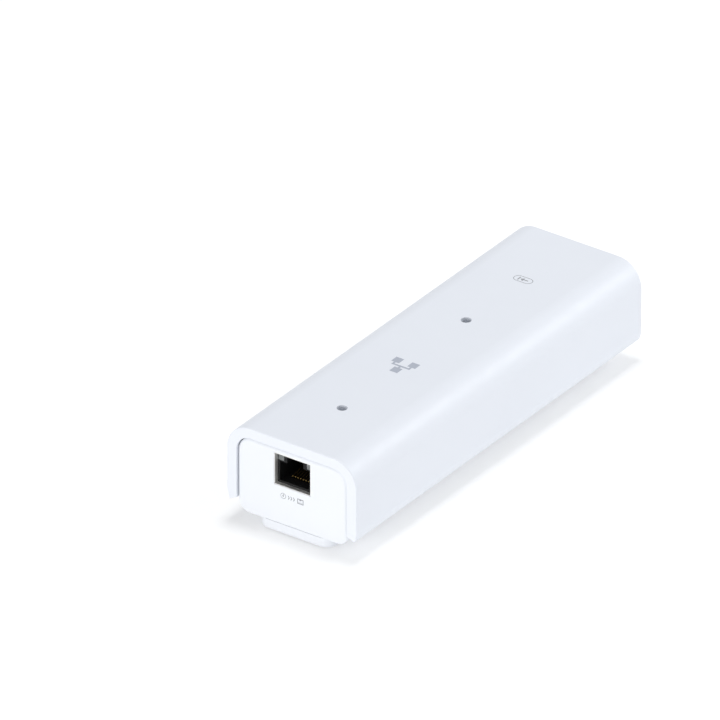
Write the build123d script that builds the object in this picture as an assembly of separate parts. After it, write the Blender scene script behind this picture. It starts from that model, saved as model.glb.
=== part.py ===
from build123d import *
import math
import os

# An inline power-over-Ethernet unit: a long white bar with a network socket in each end panel, on a
# narrow bracket that screws to a wall. All sizes are in millimetres.
# X runs across the unit, Y along it with the power output end at -Y, and Z up from the surface below.

# Body
WIDTH = 50.0
LENGTH = 157.2
BODY_HEIGHT = 31.25
FOOT_HEIGHT = 4.0
TOP = FOOT_HEIGHT + BODY_HEIGHT
HALF_WIDTH = WIDTH / 2
HALF_LENGTH = LENGTH / 2

# Levels of the network sockets and of the circuit board that carries them
PORT_CENTRE_Z = TOP - 11.33
BOARD = PORT_CENTRE_Z - 6.8
BOARD_BOTTOM = BOARD - 1.6

# Top shell: a thin wall that thickens to a rim at each end, a little more at the sides than above
TOP_CORNER = 9.0
BOTTOM_CORNER = 6.8
RIM_THICKNESS = 3.5
RIM_SIDE = 3.75
RIM_DEPTH = 7.0
SHELL_WALL = 2.2
SHELL_EDGE = 0.45
RIM_INNER = HALF_WIDTH - RIM_SIDE
CUT_INNER_Z = TOP - 26.6
CUT_SLOPE = -0.458
ROOF = TOP - SHELL_WALL
RIB_HALF = 17.0
RIB_THICKNESS = 1.0
RIB_DEPTH = 1.0
RIB_PLACES = (-30.0, 34.0, 46.0)

# Case screws, deep in two wells in the top
WELL_PLACES = (-51.0, 17.05)
WELL_RADIUS = 1.75
TUBE_RADIUS = 2.75
TUBE_END = BOARD_BOTTOM - 1.2
SEAT_Z = BOARD + 1.8
CASE_SCREW_RADIUS = 1.1
CASE_SCREW_TIP = FOOT_HEIGHT + 4.9
CASE_HEAD_RADIUS = 1.55
CASE_HEAD_HEIGHT = 1.5
SHANK_FIT = 0.15
THREAD_FIT = 0.03

# Base tray with its end panels
PANEL_RECESS = 0.45
PANEL_GAP = 0.2
PANEL_THICKNESS = 1.5
PANEL_EDGE = 1.1
PANEL_FACE = HALF_LENGTH - PANEL_RECESS
PANEL_BACK = PANEL_FACE - PANEL_THICKNESS
PANEL_TOP_GAP = 0.38
PANEL_TOP = TOP - RIM_THICKNESS - PANEL_TOP_GAP
PANEL_TOP_CORNER = 5.2
CUP_DEPTH = 5.0
TRAY_HALF = RIM_INNER - PANEL_GAP
TRAY_CORNER = 4.2
TRAY_WALL = 1.5
TRAY_FLOOR = 2.2
TRAY_WALL_TOP = CUT_INNER_Z + 6.5
TRAY_INNER = TRAY_HALF - TRAY_WALL
FLOOR_TOP = FOOT_HEIGHT + TRAY_FLOOR
LEDGE_HALF = HALF_WIDTH - SHELL_WALL - 0.3
LEDGE_HALF_LENGTH = HALF_LENGTH - RIM_DEPTH - 0.5

# Dovetail between the tray and the wall bracket
PLATFORM_HALF = 10.5
PLATFORM_TOP = FOOT_HEIGHT + 4.1
GROOVE_NARROW = 6.6
GROOVE_WIDE = 8.4
GROOVE_TOP = FOOT_HEIGHT + 2.9
GROOVE_FRONT = -72.0
SLIDE_GAP = 0.15

# Wall bracket
BRACKET_HALF = 14.1
BRACKET_HALF_LENGTH = HALF_LENGTH - 1.2
BRACKET_CORNER = 4.0
BRACKET_EDGE = 0.5
BRACKET_TOP = FOOT_HEIGHT - SLIDE_GAP
BRACKET_BOTTOM = 0.6
WALL_SCREW_SPACING = 100.0
WALL_SCREW_RADIUS = 2.1
COUNTERBORE_RADIUS = 4.2
COUNTERBORE_FLOOR = 2.4
PAD_X = 8.6
PAD_Y = 66.0
PAD_RADIUS = 4.0
PAD_TOP = 1.4

# Circuit board
BOARD_HALF_WIDTH = 18.9
BOARD_HALF_LENGTH = PANEL_BACK - 0.9
BOARD_TUBE_HOLE = 3.15
BOARD_SCREW_X = 15.3
BOARD_SCREW_PLACES = (-52.0, 52.0)
BOARD_SCREW_RADIUS = 1.0
BOARD_HEAD_RADIUS = 1.9
BOARD_HEAD_HEIGHT = 1.2
BOARD_SCREW_TIP = BOARD_BOTTOM - 4.6
BOSS_RADIUS = 2.5
SHEET_THICKNESS = 0.25
SHEET_HALF_WIDTH = 17.5
SHEET_HALF_LENGTH = 66.0
SHEET_HOLE_MARGIN = 0.4

# Network socket, drawn for the front end and turned round for the rear end
PORT_HALF_WIDTH = 7.1
PORT_HEIGHT = 11.65
PORT_LOW = PORT_CENTRE_Z - PORT_HEIGHT / 2
PORT_HIGH = PORT_CENTRE_Z + PORT_HEIGHT / 2
JACK_FACE = -PANEL_BACK + 0.1
JACK_HALF_WIDTH = 8.0
JACK_LENGTH = 21.0
JACK_HEIGHT = 13.4
SHEET_METAL = 0.25
SHIELD_WALL_X = JACK_HALF_WIDTH - SHEET_METAL / 2
COLLAR_FIT = 0.05
COLLAR_RECESS = 0.15
CAVITY_HALF = 5.95
CAVITY_LOW = PORT_CENTRE_Z - 4.7
CAVITY_HIGH = PORT_CENTRE_Z + 2.2
CAVITY_DEPTH = 14.0
TAB_HALF = 3.1
TAB_HIGH = PORT_CENTRE_Z + 4.6
WINDOW_NEAR = 4.3
WINDOW_FAR = 6.6
WINDOW_LOW = PORT_CENTRE_Z + 2.4
WINDOW_HIGH = PORT_CENTRE_Z + 5.1
WINDOW_DEPTH = 12.5
CONTACT_COUNT = 8
CONTACT_PITCH = 1.02
CONTACT_WIDTH = 0.45
CONTACT_THICKNESS = 0.3
CONTACT_LENGTH = 8.2
CONTACT_RISE_DEG = 15.0
CONTACT_PIVOT_Y = JACK_FACE + 4.0
CONTACT_PIVOT_Z = PORT_CENTRE_Z - 4.45
CONTACT_PIVOT_RADIUS = 0.3
PIN_GAP = 0.05
PIN_END = BOARD_BOTTOM - 2.0
PEG_RADIUS = 1.55
PEG_X = 5.7
PEG_Y = JACK_FACE + 9.0
SHIELD_TAB_Y = PEG_Y + 3.0
SHIELD_TAB_LENGTH = 1.6
HOLE_MARGIN = 0.1


def block(x0, x1, y0, y1, z0, z1):
    """A box between two corners."""
    centre = Pos((x0 + x1) / 2, (y0 + y1) / 2, (z0 + z1) / 2)
    return centre * Box(x1 - x0, y1 - y0, z1 - z0)


def brick(x, y, width, length, low, high):
    """A box standing at x, y."""
    return block(x - width / 2, x + width / 2, y - length / 2, y + length / 2, low, high)


def post(x, y, low, high, radius):
    """An upright cylinder."""
    return Pos(x, y, (low + high) / 2) * Cylinder(radius, high - low)


def section(half_width, low, high, low_radius, high_radius):
    """A cross-section in X and Z with rounded lower and upper corners; a radius of 0 stays sharp."""
    shape = Pos(0, (low + high) / 2) * Rectangle(2 * half_width, high - low)
    if low_radius:
        shape = fillet(shape.vertices().group_by(Axis.Y)[0], low_radius)
    if high_radius:
        shape = fillet(shape.vertices().group_by(Axis.Y)[-1], high_radius)
    return shape


def along_y(sketch, start, end):
    """A cross-section carried along the unit from start to end."""
    return extrude(Plane.XZ.offset(-end) * sketch, amount=end - start)


def end_edges(shape):
    """The edges of the two end faces."""
    groups = shape.edges().group_by(Axis.Y)
    return groups[0] + groups[-1]


def dovetail(start, end, low, high, gap):
    """The dovetail's solid, made smaller all round by a gap."""
    lean = (GROOVE_WIDE - GROOVE_NARROW) / (GROOVE_TOP - FOOT_HEIGHT)
    half_low = GROOVE_NARROW - gap + lean * (low - FOOT_HEIGHT)
    half_high = GROOVE_NARROW - gap + lean * (high - FOOT_HEIGHT)
    outline = Polygon(
        (-half_low, low), (half_low, low), (half_high, high), (-half_high, high), align=None
    )
    return along_y(outline, start, end)


def rear(shape):
    """A front-end piece turned round to the rear end."""
    return Rot(0, 0, 180) * shape


def top_shell():
    shell = along_y(section(HALF_WIDTH, FOOT_HEIGHT, TOP, BOTTOM_CORNER, TOP_CORNER),
                    -HALF_LENGTH, HALF_LENGTH)
    shell = fillet(end_edges(shell), SHELL_EDGE)
    rim_hollow = section(RIM_INNER, 0, TOP - RIM_THICKNESS, 0, TOP_CORNER - RIM_THICKNESS)
    hollow = section(HALF_WIDTH - SHELL_WALL, 0, ROOF, 0, TOP_CORNER - SHELL_WALL)
    shell -= along_y(rim_hollow, -LENGTH, LENGTH)
    shell -= along_y(hollow, -(HALF_LENGTH - RIM_DEPTH), HALF_LENGTH - RIM_DEPTH)
    # The lower edges are cut off on a slant, so each side ends in a thin lip that curves under.
    cut_outer_z = CUT_INNER_Z + CUT_SLOPE * (WIDTH - RIM_INNER)
    shell -= along_y(
        Polygon((-WIDTH, -WIDTH), (WIDTH, -WIDTH), (WIDTH, cut_outer_z), (RIM_INNER, CUT_INNER_Z),
                (-RIM_INNER, CUT_INNER_Z), (-WIDTH, cut_outer_z), align=None),
        -LENGTH, LENGTH)
    for y in RIB_PLACES:
        shell += brick(0, y, 2 * RIB_HALF, RIB_THICKNESS, ROOF - RIB_DEPTH, ROOF + 0.5)
    for y in WELL_PLACES:
        shell += post(0, y, TUBE_END, ROOF + 0.5, TUBE_RADIUS)
        shell -= post(0, y, SEAT_Z, TOP + 1, WELL_RADIUS)
        shell -= post(0, y, TUBE_END - 1, SEAT_Z + 1, CASE_SCREW_RADIUS + SHANK_FIT)
    return shell


def port_block(margin, start, end):
    """The front port's outline, made smaller all round by a margin, carried from start to end."""
    half = PORT_HALF_WIDTH - margin
    return block(-half, half, start, end, PORT_LOW + margin, PORT_HIGH - margin)


def end_features(tray):
    """Cuts the port out of the front panel, and the way in for the socket behind it."""
    notch = JACK_HALF_WIDTH + 0.4
    tray -= block(-notch, notch, -PANEL_BACK, -PANEL_BACK + CUP_DEPTH, PORT_LOW, TOP)
    return tray - port_block(0, -HALF_LENGTH, -PANEL_BACK + 1)


def base_tray():
    low_section = section(TRAY_HALF, FOOT_HEIGHT, TRAY_WALL_TOP, TRAY_CORNER, 0)
    end_section = section(TRAY_HALF, FOOT_HEIGHT, PANEL_TOP, TRAY_CORNER, PANEL_TOP_CORNER)
    tray = along_y(low_section, -PANEL_FACE, PANEL_FACE)
    tray += along_y(end_section, -PANEL_FACE, -PANEL_FACE + CUP_DEPTH)
    tray += along_y(end_section, PANEL_FACE - CUP_DEPTH, PANEL_FACE)
    tray = fillet(end_edges(tray), PANEL_EDGE)
    hollow = section(TRAY_INNER, FLOOR_TOP, PANEL_TOP - TRAY_WALL, TRAY_CORNER - TRAY_FLOOR,
                     PANEL_TOP_CORNER - TRAY_WALL)
    tray -= along_y(hollow, -PANEL_BACK, PANEL_BACK)
    for side in (-1, 1):
        inner, outer = sorted((side * (TRAY_HALF - 0.5), side * LEDGE_HALF))
        tray += block(inner, outer, -LEDGE_HALF_LENGTH, LEDGE_HALF_LENGTH, CUT_INNER_Z, TRAY_WALL_TOP - 2)
    tray += block(-PLATFORM_HALF, PLATFORM_HALF, -PANEL_BACK - 0.5, PANEL_BACK + 0.5,
                  FOOT_HEIGHT + 1, PLATFORM_TOP)
    tray -= dovetail(GROOVE_FRONT, HALF_LENGTH, FOOT_HEIGHT - 0.01, GROOVE_TOP, 0)
    for y in WELL_PLACES:
        tray += post(0, y, PLATFORM_TOP - 0.5, TUBE_END - 0.1, TUBE_RADIUS)
        tray -= post(0, y, CASE_SCREW_TIP - 0.3, BOARD, CASE_SCREW_RADIUS + THREAD_FIT)
    for x, y in board_screw_places():
        tray += post(x, y, FLOOR_TOP - 0.5, BOARD_BOTTOM, BOSS_RADIUS)
        tray -= post(x, y, BOARD_SCREW_TIP - 0.3, BOARD, BOARD_SCREW_RADIUS + THREAD_FIT)
    tray = end_features(tray)
    return rear(end_features(rear(tray)))


def board_screw_places():
    return [(side * BOARD_SCREW_X, y) for y in BOARD_SCREW_PLACES for side in (-1, 1)]


def wall_bracket():
    plate = block(-BRACKET_HALF, BRACKET_HALF, -BRACKET_HALF_LENGTH, BRACKET_HALF_LENGTH,
                  BRACKET_BOTTOM, BRACKET_TOP)
    plate = fillet(plate.edges().filter_by(Axis.Z), BRACKET_CORNER)
    plate = fillet(plate.edges().group_by(Axis.Z)[0], BRACKET_EDGE)
    plate += dovetail(GROOVE_FRONT + 0.5, BRACKET_HALF_LENGTH - 0.5, BRACKET_TOP - 0.5,
                      GROOVE_TOP - SLIDE_GAP, SLIDE_GAP)
    for y in (-WALL_SCREW_SPACING / 2, WALL_SCREW_SPACING / 2):
        plate -= post(0, y, -1, GROOVE_TOP, WALL_SCREW_RADIUS)
        plate -= post(0, y, COUNTERBORE_FLOOR, GROOVE_TOP, COUNTERBORE_RADIUS)
    for pad in rubber_pads():
        plate -= pad
    return plate


def rubber_pads():
    """Four round pads let into the underside of the bracket; they stand a little proud of it."""
    return [post(x, y, 0, PAD_TOP, PAD_RADIUS) for x in (-PAD_X, PAD_X) for y in (-PAD_Y, PAD_Y)]


def screw(x, y, tip, seat, shank_radius, head_radius, head_height):
    """A pan-head screw with a cross recess."""
    body = post(x, y, tip, seat + 0.1, shank_radius)
    head = post(x, y, seat, seat + head_height, head_radius)
    head = fillet(head.edges().group_by(Axis.Z)[-1], head_height * 0.4)
    arm = head_radius * 0.55
    slot = head_radius * 0.13
    recess_floor = seat + head_height * 0.4
    head -= block(x - arm, x + arm, y - slot, y + slot, recess_floor, seat + head_height + 1)
    head -= block(x - slot, x + slot, y - arm, y + arm, recess_floor, seat + head_height + 1)
    return body + head


def case_screws():
    return [screw(0, y, CASE_SCREW_TIP, SEAT_Z, CASE_SCREW_RADIUS, CASE_HEAD_RADIUS, CASE_HEAD_HEIGHT)
            for y in WELL_PLACES]


def board_screws():
    return [screw(x, y, BOARD_SCREW_TIP, BOARD, BOARD_SCREW_RADIUS, BOARD_HEAD_RADIUS, BOARD_HEAD_HEIGHT)
            for x, y in board_screw_places()]


def insulating_sheet():
    sheet = brick(0, 0, 2 * SHEET_HALF_WIDTH, 2 * SHEET_HALF_LENGTH, PLATFORM_TOP,
                  PLATFORM_TOP + SHEET_THICKNESS)
    for y in WELL_PLACES:
        sheet -= post(0, y, PLATFORM_TOP - 1, PLATFORM_TOP + 1, TUBE_RADIUS + SHEET_HOLE_MARGIN)
    for x, y in board_screw_places():
        sheet -= post(x, y, PLATFORM_TOP - 1, PLATFORM_TOP + 1, BOSS_RADIUS + SHEET_HOLE_MARGIN)
    return sheet


def jack_board_holes():
    """What the front socket needs cut in the board: contact tails, locating pegs and shield tabs."""
    low = BOARD_BOTTOM - 1
    high = BOARD + 1
    tail_hole = CONTACT_WIDTH + 2 * HOLE_MARGIN
    holes = [brick(x, CONTACT_PIVOT_Y, tail_hole, tail_hole, low, high) for x in contact_places()]
    for side in (-1, 1):
        holes.append(post(side * PEG_X, PEG_Y, low, high, PEG_RADIUS + HOLE_MARGIN))
        holes.append(brick(side * SHIELD_WALL_X, SHIELD_TAB_Y, SHEET_METAL + 3 * HOLE_MARGIN,
                           SHIELD_TAB_LENGTH + 3 * HOLE_MARGIN, low, high))
    return holes


def main_board():
    board = block(-BOARD_HALF_WIDTH, BOARD_HALF_WIDTH, -BOARD_HALF_LENGTH, BOARD_HALF_LENGTH,
                  BOARD_BOTTOM, BOARD)
    for y in WELL_PLACES:
        board -= post(0, y, BOARD_BOTTOM - 1, BOARD + 1, BOARD_TUBE_HOLE)
    for x, y in board_screw_places():
        board -= post(x, y, BOARD_BOTTOM - 1, BOARD + 1, BOARD_SCREW_RADIUS + SHANK_FIT)
    for hole in jack_board_holes():
        board -= hole
        board -= rear(hole)
    for x, y in transistor_lead_places():
        board -= brick(x, y, 0.9, 1.1, BOARD_BOTTOM - 1, BOARD + 1)
    return board


def contact_places():
    first = -(CONTACT_COUNT - 1) / 2 * CONTACT_PITCH
    return [first + i * CONTACT_PITCH for i in range(CONTACT_COUNT)]


def jack_shield():
    """The folded sheet-metal cage: open below, with a collar that lines the port in the panel."""
    back = JACK_FACE + JACK_LENGTH
    high = BOARD + JACK_HEIGHT
    cage = block(-JACK_HALF_WIDTH, JACK_HALF_WIDTH, JACK_FACE, back, BOARD, high)
    cage -= block(-JACK_HALF_WIDTH + SHEET_METAL, JACK_HALF_WIDTH - SHEET_METAL,
                  JACK_FACE + SHEET_METAL, back - SHEET_METAL, BOARD - 1, high - SHEET_METAL)
    cage += port_block(COLLAR_FIT, -PANEL_FACE + COLLAR_RECESS, JACK_FACE + SHEET_METAL)
    cage -= port_block(COLLAR_FIT + SHEET_METAL, -HALF_LENGTH, JACK_FACE + 1)
    for side in (-1, 1):
        cage += brick(side * SHIELD_WALL_X, SHIELD_TAB_Y, SHEET_METAL, SHIELD_TAB_LENGTH,
                      BOARD_BOTTOM - 1, BOARD + 1)
    return cage


def jack_insulator():
    """The black block with the plug cavity, the latch channel and the two window slots."""
    back = JACK_FACE + JACK_LENGTH
    low = BOARD + 0.2
    side_gap = SHEET_METAL + 0.05
    body = block(-JACK_HALF_WIDTH + side_gap, JACK_HALF_WIDTH - side_gap, JACK_FACE + side_gap,
                 back - side_gap, low, BOARD + JACK_HEIGHT - side_gap)
    body += port_block(2 * COLLAR_FIT + SHEET_METAL, JACK_FACE + 0.05, JACK_FACE + 1)
    body -= block(-CAVITY_HALF, CAVITY_HALF, JACK_FACE - 1, JACK_FACE + CAVITY_DEPTH, CAVITY_LOW, CAVITY_HIGH)
    body -= block(-TAB_HALF, TAB_HALF, JACK_FACE - 1, JACK_FACE + CAVITY_DEPTH - 2, CAVITY_HIGH - 1, TAB_HIGH)
    # The pit that the contact springs lie in.
    pit_half = CONTACT_COUNT / 2 * CONTACT_PITCH + 0.1
    body -= block(-pit_half, pit_half, CONTACT_PIVOT_Y - 0.7, JACK_FACE + CAVITY_DEPTH - 0.5,
                  BOARD + 1.4, CAVITY_LOW + 1)
    for side in (-1, 1):
        near, far = sorted((side * WINDOW_NEAR, side * WINDOW_FAR))
        body -= block(near, far, JACK_FACE - 1, JACK_FACE + WINDOW_DEPTH, WINDOW_LOW, WINDOW_HIGH)
        # Beside the window the nose of the block is open as far as the collar.
        near, far = sorted((side * WINDOW_FAR, side * PORT_HALF_WIDTH))
        body -= block(near, far, JACK_FACE - 1, JACK_FACE + side_gap, WINDOW_LOW, WINDOW_HIGH)
        body += post(side * PEG_X, PEG_Y, BOARD_BOTTOM + 0.2, low + 0.5, PEG_RADIUS)
    for x in contact_places():
        body -= brick(x, CONTACT_PIVOT_Y, CONTACT_WIDTH, CONTACT_WIDTH, low - 1, CAVITY_LOW)
    return body


def jack_contacts():
    """Eight spring contacts: each rises towards the back of the cavity from its root."""
    springs = []
    for x in contact_places():
        root = Pos(x, CONTACT_PIVOT_Y, CONTACT_PIVOT_Z)
        arm = Rot(CONTACT_RISE_DEG, 0, 0) * Box(CONTACT_WIDTH, CONTACT_LENGTH, CONTACT_THICKNESS,
                                               align=(Align.CENTER, Align.MIN, Align.CENTER))
        knuckle = Rot(0, 90, 0) * Cylinder(CONTACT_PIVOT_RADIUS, CONTACT_WIDTH)
        springs.append(root * (arm + knuckle))
    return springs


def jack_tails():
    """The fixed lower ends of the contacts, which are soldered through the board."""
    high = CONTACT_PIVOT_Z - CONTACT_PIVOT_RADIUS - PIN_GAP
    return [brick(x, CONTACT_PIVOT_Y, CONTACT_WIDTH, CONTACT_WIDTH, PIN_END, high) for x in contact_places()]


def jack_light_pipes():
    pipes = []
    for side in (-1, 1):
        near, far = sorted((side * (WINDOW_NEAR + 0.05), side * (WINDOW_FAR - 0.05)))
        pipes.append(block(near, far, JACK_FACE + 0.2, JACK_FACE + WINDOW_DEPTH - 2.6,
                           WINDOW_LOW + 0.05, WINDOW_HIGH - 0.05))
    return pipes


def jack_lamps():
    centre = (WINDOW_NEAR + WINDOW_FAR) / 2
    middle = (WINDOW_LOW + WINDOW_HIGH) / 2
    return [block(side * centre - 0.8, side * centre + 0.8, JACK_FACE + WINDOW_DEPTH - 2.5,
                  JACK_FACE + WINDOW_DEPTH, middle - 0.8, middle + 0.8) for side in (-1, 1)]


# Chip packages and their leads
PACKAGE_BEVEL = 0.2
LEAD_WIDTH = 0.4
LEAD_THICKNESS = 0.25


def chip(x, y, width, length, height, standoff):
    """A moulded chip package with its upper edges bevelled."""
    body = brick(x, y, width, length, BOARD + standoff, BOARD + standoff + height)
    return chamfer(body.edges().group_by(Axis.Z)[-1], PACKAGE_BEVEL)


def lead_row(x, y, count, pitch, reach, height, direction):
    """Bent leads along X on one long side of a package, stepping down to the board."""
    middle = reach / 2
    high = BOARD + height + 0.1

    def run(place, start, end, low, top):
        near, far = sorted((y + direction * start, y + direction * end))
        return block(place - LEAD_WIDTH / 2, place + LEAD_WIDTH / 2, near, far, low, top)

    leads = []
    for i in range(count):
        place = x + (i - (count - 1) / 2) * pitch
        shoulder = run(place, 0, middle, high - LEAD_THICKNESS, high)
        step = run(place, middle - LEAD_THICKNESS, middle, BOARD, high)
        foot = run(place, middle - LEAD_THICKNESS, reach, BOARD, BOARD + LEAD_THICKNESS)
        leads.append(shoulder + step + foot)
    return leads


MAGNETICS_Y = -39.5
MAGNETICS_WIDTH = 16.0
MAGNETICS_LENGTH = 9.0
MAGNETICS_HEIGHT = 5.6


def magnetics():
    return chip(0, MAGNETICS_Y, MAGNETICS_WIDTH, MAGNETICS_LENGTH, MAGNETICS_HEIGHT, standoff=0.3)


def magnetics_leads():
    half = MAGNETICS_LENGTH / 2
    rows = [lead_row(0, MAGNETICS_Y + side * half, count=12, pitch=1.27, reach=1.8, height=1.2,
                     direction=side) for side in (-1, 1)]
    return rows[0] + rows[1]


# Power transformer
CORE_X = -7.0
CORE_Y = -2.0
CORE_Z = BOARD + 7.4
CORE_HALF_WIDTH = 10.0
CORE_HALF_LENGTH = 10.0
CORE_HALF_DEPTH = 3.4
CORE_PLATE = 3.0
LEG_HALF = 2.4
WINDOW_END = CORE_HALF_LENGTH - CORE_PLATE
SIDE_LEG = 2.6
FLANGE_WIDTH = 14.4
FLANGE_THICKNESS = 0.9
FLANGE_HALF_HEIGHT = 6.4
FORMER_BASE_WIDTH = 17.0
FORMER_BASE_LENGTH = 3.4
WINDING_HALF_WIDTH = 6.6
WINDING_HALF_HEIGHT = 5.9
WINDING_CORNER = 1.6
TAPE_THICKNESS = 0.23
TAPE_GAP = 0.02


def centred(half_x, half_y, half_z):
    """A box about the transformer's centre."""
    return Pos(CORE_X, CORE_Y, CORE_Z) * Box(2 * half_x, 2 * half_y, 2 * half_z)


def transformer_core():
    whole = centred(CORE_HALF_WIDTH, CORE_HALF_LENGTH, CORE_HALF_DEPTH)
    opening_half = (CORE_HALF_WIDTH - SIDE_LEG - LEG_HALF) / 2
    for side in (-1, 1):
        x = CORE_X + side * (LEG_HALF + opening_half)
        whole -= brick(x, CORE_Y, 2 * opening_half, 2 * WINDOW_END, CORE_Z - 5, CORE_Z + 5)
    halves = []
    for side in (-1, 1):
        y = CORE_Y + side * (CORE_HALF_LENGTH / 2 + 0.03)
        halves.append(whole & brick(CORE_X, y, 40, CORE_HALF_LENGTH, 0, 60))
    return halves


def transformer_former():
    tube = centred(LEG_HALF + 1.0, WINDOW_END - 0.1, CORE_HALF_DEPTH + 1.0)
    for side in (-1, 1):
        y = CORE_Y + side * (WINDOW_END - 0.55)
        tube += brick(CORE_X, y, FLANGE_WIDTH, FLANGE_THICKNESS, CORE_Z - FLANGE_HALF_HEIGHT,
                      CORE_Z + FLANGE_HALF_HEIGHT)
        # Below each end of the core, a base bar joined to the flange.
        base_y = CORE_Y + side * (CORE_HALF_LENGTH - FORMER_BASE_LENGTH / 2 - 0.1)
        tube += brick(CORE_X, base_y, FORMER_BASE_WIDTH, FORMER_BASE_LENGTH, BOARD + 0.3,
                      CORE_Z - CORE_HALF_DEPTH - 0.1)
        tube += brick(CORE_X, CORE_Y + side * (WINDOW_END - 0.5), FLANGE_WIDTH, 1.0, BOARD + 0.3, CORE_Z - 5)
    tube -= centred(LEG_HALF + 0.1, CORE_HALF_LENGTH + 1, CORE_HALF_DEPTH + 0.1)
    return tube


def wound_ring(inner_x, inner_z, outer_x, outer_z, half_length, corner):
    """A rounded rectangular ring about the transformer's centre leg."""
    ring = centred(outer_x, half_length, outer_z)
    ring = fillet(ring.edges().filter_by(Axis.Y), corner)
    return ring - centred(inner_x, half_length + 1, inner_z)


def transformer_winding():
    return wound_ring(LEG_HALF + 1.05, CORE_HALF_DEPTH + 1.05, WINDING_HALF_WIDTH, WINDING_HALF_HEIGHT,
                      WINDOW_END - 1.1, WINDING_CORNER)


def transformer_tape():
    thick = TAPE_THICKNESS + TAPE_GAP
    skin = wound_ring(LEG_HALF + 1.05, CORE_HALF_DEPTH + 1.05, WINDING_HALF_WIDTH + thick,
                      WINDING_HALF_HEIGHT + thick, WINDOW_END - 1.3, WINDING_CORNER + thick)
    inside = centred(WINDING_HALF_WIDTH + TAPE_GAP, WINDOW_END, WINDING_HALF_HEIGHT + TAPE_GAP)
    inside = fillet(inside.edges().filter_by(Axis.Y), WINDING_CORNER + TAPE_GAP)
    return skin - inside


# Common-mode choke
CHOKE_X = 4.2
CHOKE_Y = 26.3
CHOKE_RING = 4.2
CHOKE_SECTION = 1.6
CHOKE_WIRE = 0.4
CHOKE_Z = BOARD + 1.2 + CHOKE_SECTION + 2 * CHOKE_WIRE + 0.1
CHOKE_TURNS = 7


def choke_core():
    return Pos(CHOKE_X, CHOKE_Y, CHOKE_Z) * Torus(CHOKE_RING, CHOKE_SECTION)


def choke_windings():
    turns = []
    for side in (0, 180):
        for i in range(CHOKE_TURNS):
            angle = side + (i - (CHOKE_TURNS - 1) / 2) * 20
            place = Pos(CHOKE_X, CHOKE_Y, CHOKE_Z) * Rot(0, 0, angle) * Pos(CHOKE_RING, 0, 0)
            turns.append(place * Rot(90, 0, 0) * Torus(CHOKE_SECTION + CHOKE_WIRE + 0.05, CHOKE_WIRE))
    return turns


def choke_base():
    return post(CHOKE_X, CHOKE_Y, BOARD, BOARD + 1.1, CHOKE_RING + CHOKE_SECTION + 0.7)


# Capacitors, power inductor and input parts
CAN_PLACES = ((-12.6, 16.5), (13.0, 16.5), (-12.6, 28.5))
CAN_RADIUS = 5.0
CAN_LOW = BOARD + 0.8
CAN_HIGH = BOARD + 13.4
VENT_HALF = 2.6
VENT_WIDTH = 0.3
VENT_DEPTH = 0.15


def capacitor_cans():
    cans = []
    for x, y in CAN_PLACES:
        can = post(x, y, CAN_LOW, CAN_HIGH, CAN_RADIUS)
        can = fillet(can.edges().group_by(Axis.Z)[-1], 0.6)
        groove = Pos(x, y, CAN_LOW + 1.6) * Torus(CAN_RADIUS + 0.15, 0.5)
        vent = brick(x, y, 2 * VENT_HALF, VENT_WIDTH, CAN_HIGH - VENT_DEPTH, CAN_HIGH + 1)
        cross = brick(x, y, VENT_WIDTH, 2 * VENT_HALF, CAN_HIGH - VENT_DEPTH, CAN_HIGH + 1)
        cans.append(can - groove - vent - cross)
    return cans


def capacitor_seals():
    return [post(x, y, BOARD, CAN_LOW, CAN_RADIUS - 0.5) for x, y in CAN_PLACES]


INDUCTOR_X = 11.6
INDUCTOR_Y = -26.5
INDUCTOR_WIDTH = 10.5
INDUCTOR_TOP = BOARD + 6.0


def power_inductor():
    body = brick(INDUCTOR_X, INDUCTOR_Y, INDUCTOR_WIDTH, INDUCTOR_WIDTH, BOARD + 0.1, INDUCTOR_TOP)
    body = fillet(body.edges().filter_by(Axis.Z), 1.8)
    return chamfer(body.edges().group_by(Axis.Z)[-1], 0.5)


def bridge_rectifiers():
    return [chip(side * 13.3, 63.0, width=8.2, length=6.6, height=2.4, standoff=0.1) for side in (-1, 1)]


def surge_diodes():
    return [chip(side * 13.3, -63.0, width=5.9, length=7.9, height=2.2, standoff=0.1) for side in (-1, 1)]


FUSE_X = 13.6
FUSE_Y = 44.0
FUSE_RADIUS = 2.2
FUSE_HALF = 5.5


def lying_rod(x, y, radius, half_length):
    return Pos(x, y, BOARD + FUSE_RADIUS + 0.3) * Rot(90, 0, 0) * Cylinder(radius, 2 * half_length)


def fuse_tube():
    return lying_rod(FUSE_X, FUSE_Y, FUSE_RADIUS - 0.25, FUSE_HALF - 0.3)


def fuse_caps():
    caps = []
    for side in (-1, 1):
        cap = lying_rod(FUSE_X, FUSE_Y + side * (FUSE_HALF - 1.2), FUSE_RADIUS, 1.2)
        cap -= fuse_tube()
        cap += brick(FUSE_X, FUSE_Y + side * (FUSE_HALF - 0.15), 1.2, 0.3, BOARD, BOARD + 1.2)
        caps.append(cap)
    return caps


DISC_X = 13.2
DISC_Y = 34.5
DISC_RADIUS = 4.2


def isolation_capacitor():
    disc = Pos(DISC_X, DISC_Y, BOARD + DISC_RADIUS + 1.0) * Rot(90, 0, 0) * Cylinder(DISC_RADIUS, 3.2)
    disc = fillet(disc.edges(), 1.2)
    for side in (-1, 1):
        disc += brick(DISC_X + side * 2.5, DISC_Y, 0.6, 0.6, BOARD, BOARD + 3)
    return disc


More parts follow.
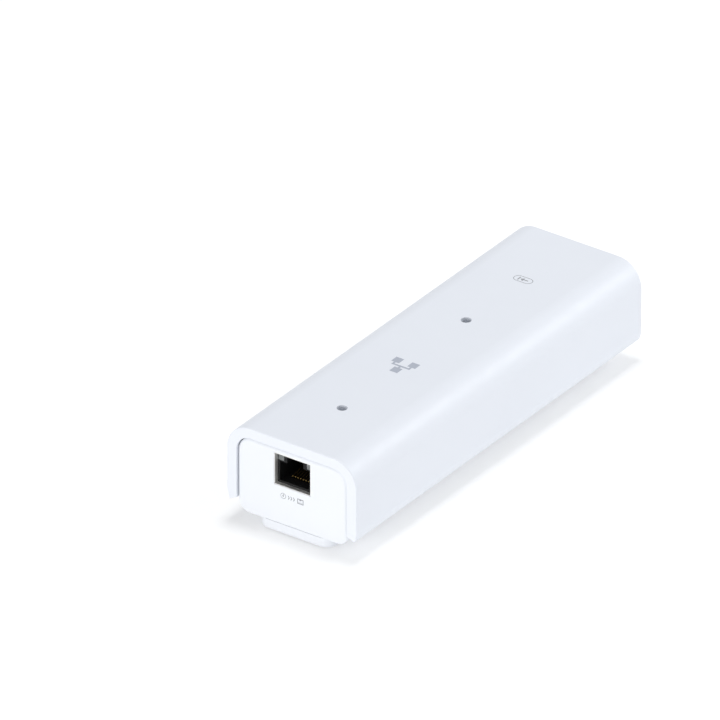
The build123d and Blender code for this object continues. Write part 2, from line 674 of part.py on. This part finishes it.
# Power transistors on their heat sink
SINK_X = 12.2
SINK_THICKNESS = 1.6
SINK_HALF = 13.0
SINK_Y = -3.5
SINK_TOP = BOARD + 14.2
TRANSISTOR_PLACES = (-10.0, 3.0)
TRANSISTOR_Z = BOARD + 8.8
TRANSISTOR_LOW = TRANSISTOR_Z - 6.0
TRANSISTOR_THICKNESS = 4.2
SINK_FINS = 6
SINK_FIN_REACH = 6.2
SINK_FIN_THICKNESS = 0.8


def heat_sink():
    plate = block(SINK_X, SINK_X + SINK_THICKNESS, SINK_Y - SINK_HALF, SINK_Y + SINK_HALF, BOARD + 0.4,
                  SINK_TOP)
    for i in range(SINK_FINS):
        z = BOARD + 1.0 + i * (SINK_TOP - BOARD - 2.0) / (SINK_FINS - 1)
        plate += block(SINK_X + SINK_THICKNESS - 0.2, SINK_X + SINK_FIN_REACH, SINK_Y - SINK_HALF,
                       SINK_Y + SINK_HALF, z - SINK_FIN_THICKNESS / 2, z + SINK_FIN_THICKNESS / 2)
    for y in TRANSISTOR_PLACES:
        plate -= Pos(SINK_X, y, TRANSISTOR_Z) * Rot(0, 90, 0) * Cylinder(1.5, 2 * SINK_THICKNESS + 0.2)
    return plate


def power_transistors():
    bodies = []
    for y in TRANSISTOR_PLACES:
        body = block(SINK_X - TRANSISTOR_THICKNESS, SINK_X, y - 5, y + 5, TRANSISTOR_LOW, TRANSISTOR_Z + 3.6)
        body = chamfer(body.edges().group_by(Axis.X)[0], 0.4)
        bodies.append(body - Pos(SINK_X, y, TRANSISTOR_Z) * Rot(0, 90, 0) * Cylinder(1.7, 20))
    return bodies


def transistor_lead_places():
    return [(SINK_X - 2, y + i * 2.54) for y in TRANSISTOR_PLACES for i in (-1, 0, 1)]


def transistor_leads():
    return [brick(x, y, 0.6, 0.8, PIN_END, TRANSISTOR_LOW) for x, y in transistor_lead_places()]


def sink_screws():
    screws = []
    for y in TRANSISTOR_PLACES:
        shank = Pos(SINK_X - 1.6, y, TRANSISTOR_Z) * Rot(0, 90, 0) * Cylinder(1.4, 5.6)
        head = Pos(SINK_X - 5.1, y, TRANSISTOR_Z) * Rot(0, 90, 0) * Cylinder(2.7, 1.7)
        screws.append(shank + fillet(head.edges().group_by(Axis.X)[0], 0.6))
    return screws


MODEM_X = -10.2
MODEM_Y = -25.5
MODEM_TOP = BOARD + 0.95
MODEM_PAD_TOP = MODEM_TOP + 0.5
MODEM_SINK_WIDTH = 10.0
MODEM_SINK_PLATE = 1.4
MODEM_SINK_HEIGHT = 6.5
MODEM_FINS = 5
MODEM_FIN_THICKNESS = 0.9


def modem_chip():
    return chip(MODEM_X, MODEM_Y, width=9.0, length=9.0, height=0.9, standoff=0.05)


def thermal_pad():
    return brick(MODEM_X, MODEM_Y, 8.0, 8.0, MODEM_TOP, MODEM_PAD_TOP)


def modem_sink():
    low = MODEM_PAD_TOP
    sink = brick(MODEM_X, MODEM_Y, MODEM_SINK_WIDTH, MODEM_SINK_WIDTH, low, low + MODEM_SINK_PLATE)
    spacing = (MODEM_SINK_WIDTH - MODEM_FIN_THICKNESS - 0.3) / (MODEM_FINS - 1)
    for i in range(MODEM_FINS):
        x = MODEM_X + (i - (MODEM_FINS - 1) / 2) * spacing
        sink += brick(x, MODEM_Y, MODEM_FIN_THICKNESS, MODEM_SINK_WIDTH, low + MODEM_SINK_PLATE - 0.2,
                      low + MODEM_SINK_HEIGHT)
    return sink


CONTROLLER_X = 0.4
CONTROLLER_Y = -24.0
CONTROLLER_LENGTH = 4.4


def poe_controller():
    return chip(CONTROLLER_X, CONTROLLER_Y, 6.4, CONTROLLER_LENGTH, height=1.1, standoff=0.15)


def controller_leads():
    half = CONTROLLER_LENGTH / 2
    rows = [lead_row(CONTROLLER_X, CONTROLLER_Y + side * half, count=8, pitch=0.8, reach=1.0, height=0.7,
                     direction=side) for side in (-1, 1)]
    return rows[0] + rows[1]


def optocoupler():
    return chip(5.4, 12.2, width=4.6, length=6.4, height=3.2, standoff=0.1)


def crystal():
    can = brick(-13.8, -39.0, width=4.4, length=10.8, low=BOARD + 0.1, high=BOARD + 3.4)
    can = fillet(can.edges().filter_by(Axis.Z), 2.1)
    return fillet(can.edges().group_by(Axis.Z)[-1], 0.5)


def chip_group(places, width, length, height):
    """Small two-ended chip parts, all alike."""
    return [brick(x, y, width, length, BOARD, BOARD + height) for x, y in places]


def chip_resistors():
    places = [(12.0 + 2.2 * i, -41.0 + 3.0 * j) for i in range(3) for j in range(3)]
    places += [(-16.2, -16.0 - 2.4 * i) for i in range(2)]
    return chip_group(places, 0.85, 1.6, 0.5)


def chip_capacitors():
    places = [(-3.2 + 2.1 * i, -29.8) for i in range(4)]
    places += [(-6.0 + 2.4 * i, 48.5) for i in range(2)]
    places += [(-3.0 + 2.4 * i, 11.4) for i in range(2)]
    return chip_group(places, 1.25, 2.0, 1.2)


def write(name, shape):
    """Writes one node, from one solid or a list of separate solids."""
    solids = shape if isinstance(shape, list) else [shape]
    export_step(Compound(children=[s for part in solids for s in part.solids()]), f"parts/{name}.step")


SOCKET_PIECES = {
    "shield": jack_shield,
    "insulator": jack_insulator,
    "contacts": jack_contacts,
    "tails": jack_tails,
    "light_pipes": jack_light_pipes,
    "lamps": jack_lamps,
}

PIECES = {
    "top_shell": top_shell,
    "base_tray": base_tray,
    "wall_bracket": wall_bracket,
    "rubber_pads": rubber_pads,
    "case_screws": case_screws,
    "board_screws": board_screws,
    "insulating_sheet": insulating_sheet,
    "main_board": main_board,
    "transformer_core": transformer_core,
    "transformer_former": transformer_former,
    "transformer_winding": transformer_winding,
    "transformer_tape": transformer_tape,
    "choke_core": choke_core,
    "choke_windings": choke_windings,
    "choke_base": choke_base,
    "capacitor_cans": capacitor_cans,
    "capacitor_seals": capacitor_seals,
    "power_inductor": power_inductor,
    "bridge_rectifiers": bridge_rectifiers,
    "surge_diodes": surge_diodes,
    "fuse_tube": fuse_tube,
    "fuse_caps": fuse_caps,
    "isolation_capacitor": isolation_capacitor,
    "heat_sink": heat_sink,
    "power_transistors": power_transistors,
    "transistor_leads": transistor_leads,
    "sink_screws": sink_screws,
    "modem_chip": modem_chip,
    "thermal_pad": thermal_pad,
    "modem_sink": modem_sink,
    "poe_controller": poe_controller,
    "controller_leads": controller_leads,
    "optocoupler": optocoupler,
    "crystal": crystal,
    "chip_resistors": chip_resistors,
    "chip_capacitors": chip_capacitors,
}

os.makedirs("parts", exist_ok=True)
for name, make in PIECES.items():
    write(name, make())
for name, make in SOCKET_PIECES.items():
    pieces = make()
    solids = pieces if isinstance(pieces, list) else [pieces]
    write("front_jack_" + name, solids)
    write("rear_jack_" + name, [rear(piece) for piece in solids])
for name, make in {"magnetics": magnetics, "magnetics_leads": magnetics_leads}.items():
    pieces = make()
    solids = pieces if isinstance(pieces, list) else [pieces]
    write("front_" + name, solids)
    write("rear_" + name, [rear(piece) for piece in solids])
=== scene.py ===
import bmesh
import bpy
import math
from mathutils import Matrix, Vector


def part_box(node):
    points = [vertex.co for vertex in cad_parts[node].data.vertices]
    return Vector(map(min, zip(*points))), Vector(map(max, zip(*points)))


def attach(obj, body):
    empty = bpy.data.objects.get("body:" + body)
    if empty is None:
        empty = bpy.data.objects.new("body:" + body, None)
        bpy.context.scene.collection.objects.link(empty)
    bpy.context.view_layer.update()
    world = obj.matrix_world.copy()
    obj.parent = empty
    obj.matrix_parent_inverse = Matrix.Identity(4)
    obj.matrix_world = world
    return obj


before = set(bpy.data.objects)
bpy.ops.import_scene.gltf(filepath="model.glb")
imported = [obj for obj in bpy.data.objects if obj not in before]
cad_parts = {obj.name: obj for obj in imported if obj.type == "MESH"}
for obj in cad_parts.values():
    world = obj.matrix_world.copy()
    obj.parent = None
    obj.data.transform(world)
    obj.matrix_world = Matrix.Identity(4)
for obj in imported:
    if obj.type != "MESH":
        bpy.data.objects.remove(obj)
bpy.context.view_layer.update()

MM = 0.001

# ---------------------------------------------------------------- places, read from the frame

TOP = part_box("top_shell")[1].z
FRONT_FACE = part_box("base_tray")[0].y

# Printed marks on the top, as places along the unit, and the line of print under the socket
BADGE_Y = 48.5 * MM
MARK_Y = -18.9 * MM
LEGEND_Z = TOP - 20.35 * MM
PRINT_THICKNESS = 0.012 * MM


# ---------------------------------------------------------------- materials

class Look:
    """A procedural material, built node by node."""

    def __init__(self, name, **shader_values):
        self.material = bpy.data.materials.new(name)
        self.material.use_nodes = True
        self.nodes = self.material.node_tree.nodes
        self.links = self.material.node_tree.links
        self.shader = self.nodes["Principled BSDF"]
        for socket, value in shader_values.items():
            self.shader.inputs[socket.replace("_", " ")].default_value = value
        self.coords = self.add("ShaderNodeTexCoord").outputs["Object"]

    def add(self, kind, **settings):
        node = self.nodes.new(kind)
        for name, value in settings.items():
            setattr(node, name, value)
        return node

    def link(self, source, target):
        self.links.new(source, target)

    def stretched(self, scale):
        """The object's coordinates, scaled differently along each axis."""
        mapping = self.add("ShaderNodeMapping")
        mapping.inputs["Scale"].default_value = scale
        self.link(self.coords, mapping.inputs["Vector"])
        return mapping.outputs["Vector"]

    def noise(self, scale, detail=3.0, roughness=0.5, vector=None):
        node = self.add("ShaderNodeTexNoise")
        node.inputs["Scale"].default_value = scale
        node.inputs["Detail"].default_value = detail
        node.inputs["Roughness"].default_value = roughness
        self.link(vector or self.coords, node.inputs["Vector"])
        return node.outputs["Fac"]

    def spread(self, value, low, high, from_low=0.3, from_high=0.7):
        """A texture value moved to the range low to high."""
        node = self.add("ShaderNodeMapRange")
        node.inputs["From Min"].default_value = from_low
        node.inputs["From Max"].default_value = from_high
        node.inputs["To Min"].default_value = low
        node.inputs["To Max"].default_value = high
        self.link(value, node.inputs["Value"])
        return node.outputs["Result"]

    def tint(self, value, first, second):
        """A colour between first and second, by a value from 0 to 1."""
        node = self.add("ShaderNodeMix", data_type="RGBA")
        node.inputs["A"].default_value = (*first, 1)
        node.inputs["B"].default_value = (*second, 1)
        self.link(value, node.inputs["Factor"])
        return node.outputs["Result"]

    def colour(self, value, first, second):
        self.link(self.tint(self.spread(value, 0, 1), first, second), self.shader.inputs["Base Color"])

    def roughness(self, value, low, high):
        self.link(self.spread(value, low, high), self.shader.inputs["Roughness"])

    def bump(self, value, strength, distance):
        node = self.add("ShaderNodeBump")
        node.inputs["Strength"].default_value = strength
        node.inputs["Distance"].default_value = distance
        self.link(value, node.inputs["Height"])
        previous = self.shader.inputs["Normal"].links
        if previous:
            self.link(previous[0].from_socket, node.inputs["Normal"])
        self.link(node.outputs["Normal"], self.shader.inputs["Normal"])


def moulded_plastic(name, first, second, roughness=(0.38, 0.5), grain=0.12, **shader_values):
    """Satin moulded plastic: slow colour drift, fine even grain, and a faint unevenness in the gloss."""
    look = Look(name, **shader_values)
    look.colour(look.noise(scale=22, detail=4), first, second)
    look.roughness(look.noise(scale=160, detail=5), *roughness)
    look.bump(look.noise(scale=5200, detail=2, roughness=0.6), strength=grain, distance=0.02 * MM)
    look.bump(look.noise(scale=90, detail=2), strength=0.02, distance=0.15 * MM)
    return look.material


def brushed_metal(name, first, second, along=(900, 60, 900), roughness=(0.22, 0.4)):
    """Metal with fine scratches along one axis."""
    look = Look(name, Metallic=1.0)
    streaks = look.noise(scale=1.0, detail=4, roughness=0.6, vector=look.stretched(along))
    look.colour(streaks, first, second)
    look.roughness(streaks, *roughness)
    look.bump(streaks, strength=0.15, distance=0.01 * MM)
    return look.material


def ceramic(name, first, second, roughness=(0.35, 0.6)):
    """Fired or ground ceramic, slightly speckled."""
    look = Look(name)
    look.colour(look.noise(scale=1400, detail=3, roughness=0.7), first, second)
    look.roughness(look.noise(scale=500, detail=3), *roughness)
    look.bump(look.noise(scale=2600, detail=3, roughness=0.7), strength=0.2, distance=0.02 * MM)
    return look.material


# A wave texture of scale s repeats every pi / (10 s) metres.
WAVE_RATE = 10


def wound_wire(name, first, second, wire, axis):
    """Turns of enamelled wire lying side by side along an axis."""
    look = Look(name, Metallic=0.85, Coat_Weight=0.5, Coat_Roughness=0.15)
    wave = look.add("ShaderNodeTexWave", wave_type="BANDS", bands_direction=axis, wave_profile="SIN")
    wave.inputs["Scale"].default_value = math.pi / (WAVE_RATE * wire)
    wave.inputs["Distortion"].default_value = 0.3
    look.link(look.coords, wave.inputs["Vector"])
    look.colour(wave.outputs["Fac"], first, second)
    look.roughness(look.noise(scale=600), 0.25, 0.4)
    look.bump(wave.outputs["Fac"], strength=0.6, distance=wire * 0.5)
    return look.material


def circuit_laminate(name):
    """Solder mask over copper: paler tracks run in a fine grid under the green."""
    look = Look(name, Coat_Weight=0.3, Coat_Roughness=0.2)
    tracks = look.add("ShaderNodeTexBrick")
    tracks.inputs["Scale"].default_value = 260
    tracks.inputs["Mortar Size"].default_value = 0.06
    tracks.inputs["Color1"].default_value = (0.012, 0.13, 0.055, 1)
    tracks.inputs["Color2"].default_value = (0.018, 0.17, 0.07, 1)
    tracks.inputs["Mortar"].default_value = (0.03, 0.26, 0.11, 1)
    look.link(look.coords, tracks.inputs["Vector"])
    look.link(tracks.outputs["Color"], look.shader.inputs["Base Color"])
    look.roughness(look.noise(scale=300), 0.3, 0.45)
    look.bump(tracks.outputs["Fac"], strength=0.3, distance=0.03 * MM)
    return look.material


def soft_sheet(name, first, second, roughness):
    """Silicone, rubber, tape or film: matt, with a soft uneven surface."""
    look = Look(name)
    look.colour(look.noise(scale=120, detail=4), first, second)
    look.roughness(look.noise(scale=400, detail=3), *roughness)
    look.bump(look.noise(scale=900, detail=4, roughness=0.6), strength=0.25, distance=0.03 * MM)
    return look.material


def frosted_window(name):
    """A clear moulded light pipe with a frosted end."""
    look = Look(name, Transmission_Weight=0.35, IOR=1.49)
    look.colour(look.noise(scale=800, detail=3), (0.21, 0.225, 0.225), (0.30, 0.315, 0.315))
    look.roughness(look.noise(scale=1500, detail=3), 0.35, 0.55)
    look.bump(look.noise(scale=4000, detail=2), strength=0.2, distance=0.01 * MM)
    return look.material


WHITE = moulded_plastic("shell_plastic", (0.775, 0.80, 0.855), (0.785, 0.81, 0.865))
WHITE_BASE = moulded_plastic("base_plastic", (0.80, 0.82, 0.86), (0.81, 0.83, 0.87), (0.4, 0.52))
SOCKET_BLACK = moulded_plastic("socket_plastic", (0.006, 0.006, 0.0065), (0.010, 0.010, 0.011),
                               (0.45, 0.6), 0.3, Specular_IOR_Level=0.2)
CHIP_BLACK = moulded_plastic("moulded_epoxy", (0.018, 0.018, 0.02), (0.03, 0.03, 0.033), (0.5, 0.7), 0.5)
FORMER_BLACK = moulded_plastic("former_plastic", (0.02, 0.02, 0.022), (0.035, 0.035, 0.038), (0.4, 0.55), 0.3)
LAMP_PLASTIC = moulded_plastic("lamp_plastic", (0.62, 0.68, 0.40), (0.70, 0.76, 0.48), (0.2, 0.3), 0.1)
NICKEL = brushed_metal("nickel_plate", (0.82, 0.81, 0.79), (0.91, 0.90, 0.88), (900, 60, 900), (0.5, 0.65))
TIN = brushed_metal("tinned_metal", (0.55, 0.55, 0.54), (0.68, 0.68, 0.67))
ZINC = brushed_metal("zinc_plate", (0.45, 0.46, 0.48), (0.60, 0.61, 0.64), (900, 900, 60))
# Gold plate painted much darker than real gold: painted shade for the dark inside of the socket, which also
# dims the contacts' glints.
SHADED_GOLD = brushed_metal("gold_plate_painted_shade", (0.17, 0.115, 0.04), (0.24, 0.165, 0.06), (60, 900, 900), (0.35, 0.5))
CAN = brushed_metal("drawn_aluminium", (0.70, 0.71, 0.72), (0.82, 0.83, 0.84), (700, 700, 40))
SINK = brushed_metal("black_anodising", (0.03, 0.03, 0.032), (0.06, 0.06, 0.064), (900, 50, 900), (0.4, 0.55))
FERRITE = ceramic("ferrite", (0.035, 0.035, 0.038), (0.075, 0.075, 0.08))
WHITE_CERAMIC = ceramic("fuse_ceramic", (0.72, 0.70, 0.64), (0.80, 0.78, 0.72))
TAN_CERAMIC = ceramic("capacitor_ceramic", (0.36, 0.25, 0.15), (0.46, 0.33, 0.21))
BLUE_CERAMIC = ceramic("disc_capacitor", (0.03, 0.11, 0.36), (0.05, 0.16, 0.46), (0.2, 0.35))
COPPER = wound_wire("enamelled_copper", (0.45, 0.16, 0.06), (0.80, 0.38, 0.18), 0.5 * MM, "Y")
TAPE = soft_sheet("polyester_tape", (0.72, 0.48, 0.05), (0.80, 0.56, 0.09), (0.25, 0.4))
FILM = soft_sheet("insulating_film", (0.50, 0.47, 0.38), (0.58, 0.54, 0.44), (0.35, 0.5))
RUBBER = soft_sheet("seal_rubber", (0.015, 0.015, 0.015), (0.03, 0.03, 0.03), (0.6, 0.8))
PAD_RUBBER = soft_sheet("pad_rubber", (0.20, 0.205, 0.215), (0.26, 0.265, 0.275), (0.55, 0.75))
SILICONE = soft_sheet("thermal_silicone", (0.40, 0.46, 0.54), (0.48, 0.54, 0.62), (0.6, 0.8))
BOARD = circuit_laminate("circuit_laminate")
WINDOW = frosted_window("light_window")

NODE_LOOKS = {
    "top_shell": WHITE,
    "base_tray": WHITE_BASE,
    "wall_bracket": WHITE_BASE,
    "rubber_pads": PAD_RUBBER,
    "case_screws": ZINC,
    "board_screws": ZINC,
    "sink_screws": ZINC,
    "insulating_sheet": FILM,
    "main_board": BOARD,
    "transformer_core": FERRITE,
    "transformer_former": FORMER_BLACK,
    "transformer_winding": COPPER,
    "transformer_tape": TAPE,
    "choke_core": FERRITE,
    "choke_windings": COPPER,
    "choke_base": FORMER_BLACK,
    "capacitor_cans": CAN,
    "capacitor_seals": RUBBER,
    "power_inductor": FERRITE,
    "bridge_rectifiers": CHIP_BLACK,
    "surge_diodes": CHIP_BLACK,
    "fuse_tube": WHITE_CERAMIC,
    "fuse_caps": TIN,
    "isolation_capacitor": BLUE_CERAMIC,
    "heat_sink": SINK,
    "power_transistors": CHIP_BLACK,
    "transistor_leads": TIN,
    "modem_chip": CHIP_BLACK,
    "thermal_pad": SILICONE,
    "modem_sink": SINK,
    "poe_controller": CHIP_BLACK,
    "controller_leads": TIN,
    "optocoupler": CHIP_BLACK,
    "crystal": TIN,
    "chip_resistors": CHIP_BLACK,
    "chip_capacitors": TAN_CERAMIC,
}
END_LOOKS = {
    "jack_shield": NICKEL,
    "jack_insulator": SOCKET_BLACK,
    "jack_contacts": SHADED_GOLD,
    "jack_tails": TIN,
    "jack_light_pipes": WINDOW,
    "jack_lamps": LAMP_PLASTIC,
    "magnetics": CHIP_BLACK,
    "magnetics_leads": TIN,
}
for end in ("front", "rear"):
    for name, look in END_LOOKS.items():
        NODE_LOOKS[f"{end}_{name}"] = look
for name, look in NODE_LOOKS.items():
    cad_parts[name].data.materials.clear()
    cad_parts[name].data.materials.append(look)


# ---------------------------------------------------------------- printed marks

def print_ink(name, first, second):
    """Pad-printed ink: matt, slightly uneven in its cover."""
    look = Look(name)
    look.colour(look.noise(scale=3000, detail=3, roughness=0.6), first, second)
    look.roughness(look.noise(scale=2000), 0.45, 0.6)
    look.bump(look.noise(scale=6000, detail=2), strength=0.1, distance=0.005 * MM)
    return look.material


GREY_BLUE_INK = print_ink("grey_blue_ink", (0.40, 0.43, 0.50), (0.44, 0.47, 0.54))
GREY_INK = print_ink("grey_ink", (0.30, 0.31, 0.33), (0.34, 0.35, 0.37))


def printed(name, outlines, place, ink):
    """A print: each outline is a loop of points in millimetres, made a thin plate and moved to its place."""
    mesh = bpy.data.meshes.new(name)
    work = bmesh.new()
    for outline in outlines:
        loops = outline if isinstance(outline[0], list) else [outline]
        edges = []
        for loop in loops:
            corners = [work.verts.new((x * MM, y * MM, 0)) for x, y in loop]
            edges += [work.edges.new((a, b)) for a, b in zip(corners, corners[1:] + corners[:1])]
        bmesh.ops.triangle_fill(work, edges=edges, use_beauty=True, normal=(0, 0, 1))
    bmesh.ops.recalc_face_normals(work, faces=work.faces)
    raised = bmesh.ops.extrude_face_region(work, geom=work.faces[:])
    lifted = [v for v in raised["geom"] if isinstance(v, bmesh.types.BMVert)]
    bmesh.ops.translate(work, verts=lifted, vec=(0, 0, PRINT_THICKNESS))
    bmesh.ops.recalc_face_normals(work, faces=work.faces)
    work.transform(place)
    work.to_mesh(mesh)
    work.free()
    piece = bpy.data.objects.new(name, mesh)
    bpy.context.scene.collection.objects.link(piece)
    mesh.materials.append(ink)
    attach(piece, "casing")
    return piece


def rectangle(x0, x1, y0, y1):
    return [(x0, y0), (x1, y0), (x1, y1), (x0, y1)]


def circle(radius, steps=32):
    return [(radius * math.cos(2 * math.pi * i / steps), radius * math.sin(2 * math.pi * i / steps))
            for i in range(steps)]


def stadium(half_length, half_height, steps=16):
    """A loop with straight long sides and half-round ends."""
    loop = []
    for end in (1, -1):
        for i in range(steps + 1):
            angle = math.pi * (i / steps - 0.5) + (0 if end > 0 else math.pi)
            loop.append((end * (half_length - half_height) + half_height * math.cos(angle),
                         half_height * math.sin(angle)))
    return loop


def shifted(loop, x, y):
    return [(a + x, b + y) for a, b in loop]


def on_top(y):
    """Flat on the top, read from the front end's far side, so turned half round."""
    return Matrix.Translation((0, y, TOP)) @ Matrix.Rotation(math.pi, 4, "Z")


def on_front(z):
    """Flat on the front panel, facing -Y."""
    return Matrix.Translation((0, FRONT_FACE, z)) @ Matrix.Rotation(math.pi / 2, 4, "X")


def mirrored(half_loop):
    """A closed loop from its right half, given from top to bottom."""
    return half_loop + [(-x, y) for x, y in reversed(half_loop)]


def network_mark():
    """A plain network sign: one box over two, joined by lines."""
    half = 1.5
    line = 0.38
    high = 4.2
    span = 3.1
    inner = high - 2 * half
    return [mirrored([
        (half, high), (half, inner), (line, inner), (line, line), (span + line, line), (span + line, -inner),
        (span + half, -inner), (span + half, -high), (span - half, -high), (span - half, -inner),
        (span - line, -inner), (span - line, -line)])]


def arrow(length, head, thickness):
    """An arrow pointing along +X, centred."""
    tip = length / 2
    barb = head * 0.75
    return [(-tip, -thickness / 2), (tip - head, -thickness / 2), (tip - head, -barb), (tip, 0),
            (tip - head, barb), (tip - head, thickness / 2), (-tip, thickness / 2)]


def badge():
    """A thin long ring round an arrow that points at a bar."""
    half_length = 3.5
    half_height = 1.7
    line = 0.22
    stroke = 0.45
    bar_x = 1.35
    bar_half = 0.95
    ring = [stadium(half_length, half_height), stadium(half_length - line, half_height - line)]
    pointer = shifted(arrow(length=2.9, head=1.25, thickness=stroke), -0.4, 0)
    return [ring, pointer, rectangle(bar_x, bar_x + stroke, -bar_half, bar_half)]


def chevron(width, height, thickness):
    """A V on its side, pointing along +X."""
    back = -width / 2
    return [(back, -height / 2), (back + thickness, -height / 2), (width / 2, 0),
            (back + thickness, height / 2), (back, height / 2), (width / 2 - thickness, 0)]


def legend():
    """A bolt in a ring, three chevrons, and the outline of a socket: power goes out of this one."""
    bolt_x = -3.5
    socket_x = 3.1
    chevron_places = (-1.4, -0.4, 0.6)
    pin_places = (-0.6, -0.2, 0.2, 0.6)
    pin_half = 0.07
    ring = [circle(1.05), circle(0.88)]
    bolt = [(0.1, 0.68), (-0.42, -0.1), (-0.06, -0.1), (-0.2, -0.68),
            (0.42, 0.14), (0.06, 0.14), (0.32, 0.68)]
    socket_hole = mirrored([(0.38, 0.32), (0.38, 0.66), (0.92, 0.66), (0.92, -0.66)])
    socket = [rectangle(-1.2, 1.2, -0.94, 0.94), socket_hole]
    pins = [rectangle(x - pin_half, x + pin_half, -0.58, -0.18) for x in pin_places]
    marks = [shifted(chevron(width=0.75, height=1.35, thickness=0.34), x, 0) for x in chevron_places]
    return ([[shifted(loop, bolt_x, 0) for loop in ring], shifted(bolt, bolt_x, 0)] + marks
            + [[shifted(loop, socket_x, 0) for loop in socket]] + [shifted(pin, socket_x, 0) for pin in pins])


printed("network_mark", network_mark(), on_top(MARK_Y), GREY_BLUE_INK)
printed("link_badge", badge(), on_top(BADGE_Y), GREY_INK)
printed("port_legend", legend(), on_front(LEGEND_Z), GREY_INK)


# ---------------------------------------------------------------- studio

FLOOR_HALF = 30.0
FLOOR_GLOW = 0.22
WORLD_STRENGTH = 0.53
WORLD_COLOUR = (0.97, 0.985, 1.0)
DAYLIGHT = (0.95, 0.975, 1.0)
LIGHT_TARGET = (0, 0, 0.02)

# The camera is far off with a very long lens, so that parallel edges stay parallel.
CAMERA_AZIMUTH = math.radians(35.26)
CAMERA_ELEVATION = math.radians(30.0)
CAMERA_LENS = 1600.0
SENSOR_WIDTH = 36.0
CAMERA_DISTANCE = 10.136
CAMERA_TARGET = Vector((-24.98, -5.9, 23.1)) * MM
CLIP_START = 0.1
CLIP_END = 60.0


def floor_look():
    """A white sweep that glows a little, so that shadows on it stay pale."""
    look = Look("studio_floor", Roughness=0.9)
    look.colour(look.noise(scale=3, detail=2), (0.84, 0.84, 0.84), (0.85, 0.85, 0.85))
    look.shader.inputs["Emission Color"].default_value = (1, 1, 1, 1)
    look.shader.inputs["Emission Strength"].default_value = FLOOR_GLOW
    return look.material


def studio_floor():
    mesh = bpy.data.meshes.new("studio_floor")
    half = FLOOR_HALF
    corners = [(-half, -half, 0), (half, -half, 0), (half, half, 0), (-half, half, 0)]
    mesh.from_pydata(corners, [], [(0, 1, 2, 3)])
    floor = bpy.data.objects.new("studio_floor", mesh)
    bpy.context.scene.collection.objects.link(floor)
    mesh.materials.append(floor_look())


def softbox(name, place, width, height, power, colour=(1, 1, 1)):
    """A rectangular light turned towards the unit."""
    light = bpy.data.lights.new(name, "AREA")
    light.shape = "RECTANGLE"
    light.size = width
    light.size_y = height
    light.energy = power
    light.color = colour
    holder = bpy.data.objects.new(name, light)
    holder.location = place
    holder.rotation_mode = "QUATERNION"
    holder.rotation_quaternion = (Vector(LIGHT_TARGET) - Vector(place)).to_track_quat("-Z", "Y")
    bpy.context.scene.collection.objects.link(holder)


def studio_world():
    world = bpy.data.worlds.new("studio_world")
    world.use_nodes = True
    background = world.node_tree.nodes["Background"]
    background.inputs["Color"].default_value = (*WORLD_COLOUR, 1)
    background.inputs["Strength"].default_value = WORLD_STRENGTH
    bpy.context.scene.world = world


def studio_camera():
    data = bpy.data.cameras.new("studio_camera")
    data.lens = CAMERA_LENS
    data.sensor_width = SENSOR_WIDTH
    data.clip_start = CLIP_START
    data.clip_end = CLIP_END
    camera = bpy.data.objects.new("studio_camera", data)
    back = Vector((math.sin(CAMERA_AZIMUTH) * math.cos(CAMERA_ELEVATION),
                   -math.cos(CAMERA_AZIMUTH) * math.cos(CAMERA_ELEVATION),
                   math.sin(CAMERA_ELEVATION)))
    camera.location = CAMERA_TARGET + back * CAMERA_DISTANCE
    camera.rotation_mode = "QUATERNION"
    camera.rotation_quaternion = (-back).to_track_quat("-Z", "Y")
    bpy.context.scene.collection.objects.link(camera)
    bpy.context.scene.camera = camera


studio_floor()
studio_world()
softbox("top_back", place=(-0.03, 0.08, 1.15), width=0.3, height=0.3, power=4.05)
softbox("rim_right", place=(0.75, 1.06, 0.77), width=0.65, height=0.65, power=6.2, colour=DAYLIGHT)
softbox("low_front", place=(-0.15, -1.2, 0.25), width=1.0, height=0.4, power=5.85)
softbox("low_right", place=(1.2, 0.0, 0.25), width=0.8, height=0.4, power=1.05)
studio_camera()
bpy.context.scene.view_settings.view_transform = "Standard"
